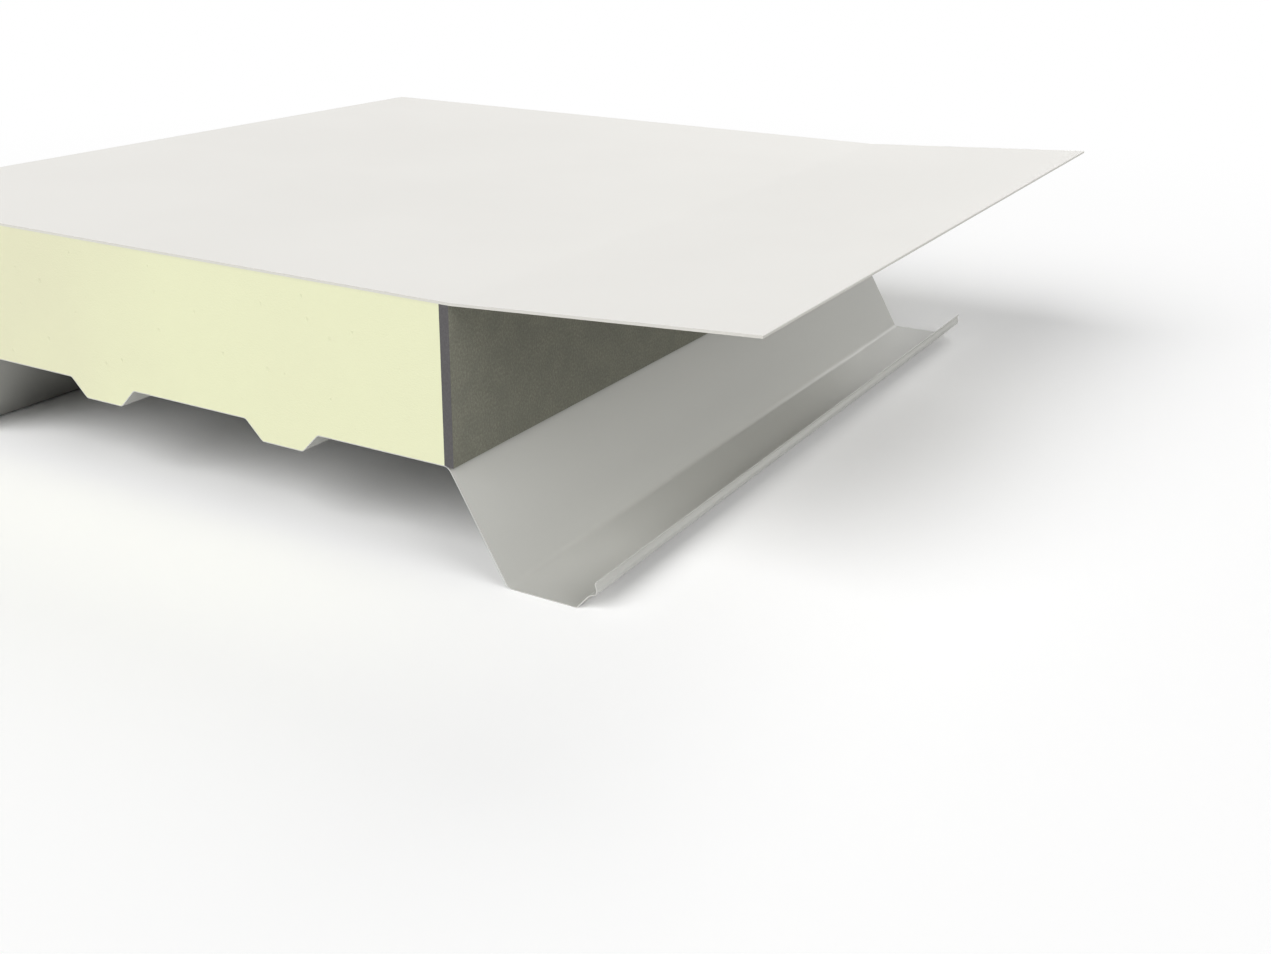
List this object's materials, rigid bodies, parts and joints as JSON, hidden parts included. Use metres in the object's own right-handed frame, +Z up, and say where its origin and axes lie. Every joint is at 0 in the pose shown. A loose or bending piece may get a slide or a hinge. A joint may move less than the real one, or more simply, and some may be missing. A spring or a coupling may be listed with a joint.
{
  "type": "insulated roof deck sandwich panel",
  "caption": "Insulated roof deck panel with a ribbed steel liner, a rigid foam core, a roofing membrane with a lap flap, and a side gasket.",
  "frame": {"origin": "middle of the panel's outline in plan, on the level of the underside of its side trough", "axes": "+X across the panel from its main rib to its lap flap, +Y along the ribs away from the end with the fixing channel, +Z up to the membrane"},
  "size_m": [1.3538, 1.2, 0.3308],
  "materials": {
    "membrane": "smooth matt roofing membrane",
    "foam": "cut rigid foam, pale yellow with fine pits",
    "liner": "light grey coil coating, satin",
    "gasket": "dark grey stippled foam rubber"
  },
  "bodies": {
    "root": {"steel_liner": "liner", "foam_core": "foam", "side_gasket": "gasket", "membrane_sheet": "membrane"}
  },
  "joints": []
}
